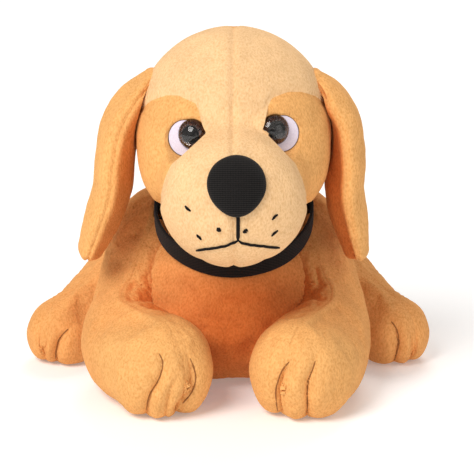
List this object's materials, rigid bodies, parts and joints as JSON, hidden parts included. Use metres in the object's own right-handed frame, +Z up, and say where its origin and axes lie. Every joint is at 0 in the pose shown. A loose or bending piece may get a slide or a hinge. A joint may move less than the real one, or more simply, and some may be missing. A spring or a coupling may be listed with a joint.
{
  "type": "plush dog",
  "caption": "Plush puppy toy lying down, with sewn fabric panels over fibre filling, floppy swinging ears, plastic eyes, a padded nose, a loose collar and jointed legs, head and tail.",
  "frame": {"origin": "on the floor, at the middle of the body's flat underside", "axes": "+Z up, -Y towards the nose, +X towards the dog's own left side"},
  "size_m": [0.293, 0.325, 0.2565],
  "materials": {
    "golden_plush": "short nap plush, golden orange",
    "light_plush": "short nap plush, light cream",
    "fibre": "loose polyester fibre",
    "collar": "smooth black webbing",
    "nose_knit": "fine ribbed black knit",
    "black_thread": "embroidery thread",
    "golden_thread": "sewing thread",
    "white_felt": "felt",
    "eye_plastic": "glossy brown",
    "pupil": "printed black",
    "eye_lens": "clear tinted dome",
    "washer": "moulded"
  },
  "bodies": {
    "body": {"back_panel_left": "golden_plush", "back_panel_right": "golden_plush", "chest_panel": "golden_plush", "belly_panel": "golden_plush", "body_filling": "fibre"},
    "neck": {"neck_cover": "golden_plush", "neck_filling": "fibre"},
    "collar": {"collar_band": "collar"},
    "head": {"face_panel_left": "light_plush", "face_panel_right": "light_plush", "cheek_panel_left": "golden_plush", "cheek_panel_right": "golden_plush", "head_back_left": "golden_plush", "head_back_right": "golden_plush", "chin_panel": "light_plush", "head_filling": "fibre", "nose_cover": "nose_knit", "nose_filling": "fibre", "mouth_stitching": "black_thread", "whisker_stitches": "black_thread", "eye_felt_left": "white_felt", "eye_felt_right": "white_felt", "eye_left": "eye_plastic", "eye_right": "eye_plastic", "eye_pupil_left": "pupil", "eye_pupil_right": "pupil", "eye_lens_left": "eye_lens", "eye_lens_right": "eye_lens", "eye_washer_left": "washer", "eye_washer_right": "washer"},
    "ear_left": {"ear_outer_left": "golden_plush", "ear_inner_left": "golden_plush", "ear_filling_left": "fibre"},
    "front_leg_left": {"front_leg_outer_left": "golden_plush", "front_leg_inner_left": "golden_plush", "front_leg_filling_left": "fibre", "front_toe_stitches_left": "golden_thread"},
    "hind_leg_left": {"hind_leg_outer_left": "golden_plush", "hind_leg_inner_left": "golden_plush", "hind_leg_filling_left": "fibre", "hind_toe_stitches_left": "golden_thread"},
    "ear_right": {"ear_outer_right": "golden_plush", "ear_inner_right": "golden_plush", "ear_filling_right": "fibre"},
    "front_leg_right": {"front_leg_outer_right": "golden_plush", "front_leg_inner_right": "golden_plush", "front_leg_filling_right": "fibre", "front_toe_stitches_right": "golden_thread"},
    "hind_leg_right": {"hind_leg_outer_right": "golden_plush", "hind_leg_inner_right": "golden_plush", "hind_leg_filling_right": "fibre", "hind_toe_stitches_right": "golden_thread"},
    "tail": {"tail_upper": "golden_plush", "tail_lower": "golden_plush", "tail_filling": "fibre"}
  },
  "joints": [
    {"name": "neck_turn", "type": "hinge", "parent": "body", "child": "neck", "pos_m": [0.004, -0.03, 0.122], "axis": [0, -0.5, 0.866], "range_deg": [-8, 8], "stiffness_Nm_per_rad": 1},
    {"name": "head_nod", "type": "hinge", "parent": "neck", "child": "head", "pos_m": [0.004, -0.03, 0.122], "axis": [1, 0, 0], "range_deg": [-7, 5], "stiffness_Nm_per_rad": 2},
    {"name": "collar_turn", "type": "hinge", "parent": "neck", "child": "collar", "pos_m": [0.004, -0.03, 0.122], "axis": [0, -0.5, 0.866], "continuous": true},
    {"name": "ear_left_swing", "type": "hinge", "parent": "head", "child": "ear_left", "pos_m": [0.065, -0.042, 0.223], "axis": [0, -1, 0], "range_deg": [0, 60]},
    {"name": "ear_right_swing", "type": "hinge", "parent": "head", "child": "ear_right", "pos_m": [-0.057, -0.042, 0.223], "axis": [0, 1, 0], "range_deg": [0, 60]},
    {"name": "front_leg_left_lift", "type": "hinge", "parent": "body", "child": "front_leg_left", "pos_m": [0.051, 0.004, 0.104], "axis": [-1, 0, 0], "range_deg": [0, 10]},
    {"name": "front_leg_right_lift", "type": "hinge", "parent": "body", "child": "front_leg_right", "pos_m": [-0.051, 0.004, 0.104], "axis": [-1, 0, 0], "range_deg": [0, 10]},
    {"name": "hind_leg_left_swing", "type": "hinge", "parent": "body", "child": "hind_leg_left", "pos_m": [0.06, 0.076, 0.05], "axis": [0, 0, 1], "range_deg": [0, 10], "stiffness_Nm_per_rad": 0.5},
    {"name": "hind_leg_right_swing", "type": "hinge", "parent": "body", "child": "hind_leg_right", "pos_m": [-0.06, 0.076, 0.05], "axis": [0, 0, -1], "range_deg": [0, 10], "stiffness_Nm_per_rad": 0.5},
    {"name": "tail_wag", "type": "hinge", "parent": "body", "child": "tail", "pos_m": [0, 0.126, 0.038], "axis": [0, 0, 1], "range_deg": [-20, 20], "stiffness_Nm_per_rad": 0.05}
  ]
}
